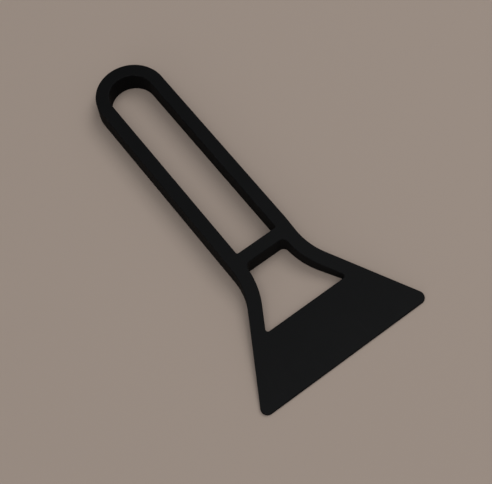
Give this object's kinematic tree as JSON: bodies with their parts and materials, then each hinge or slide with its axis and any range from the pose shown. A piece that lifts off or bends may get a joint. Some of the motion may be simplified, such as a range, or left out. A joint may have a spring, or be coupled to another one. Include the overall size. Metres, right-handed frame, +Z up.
{
  "type": "squeegee applicator",
  "caption": "Flat hand squeegee with a straight wiping edge, wedge-shaped blade, flared open neck and slotted loop handle, for pressing down self-adhesive film.",
  "frame": {"origin": "on the flat underside, halfway along the length and halfway across the width", "axes": "+X across the blade, +Y from the wiping edge to the round end of the handle, +Z up from the flat underside"},
  "size_m": [0.0734, 0.15, 0.0091],
  "materials": {
    "black_plastic": "matte black, fine even grain, faintly polished on the wiping edge and where fingers rub"
  },
  "bodies": {
    "root": {"handle_end": "black_plastic", "left_rail": "black_plastic", "right_rail": "black_plastic", "crossbar": "black_plastic", "left_arm": "black_plastic", "right_arm": "black_plastic", "blade_plate": "black_plastic", "wiping_lip": "black_plastic"}
  },
  "joints": []
}
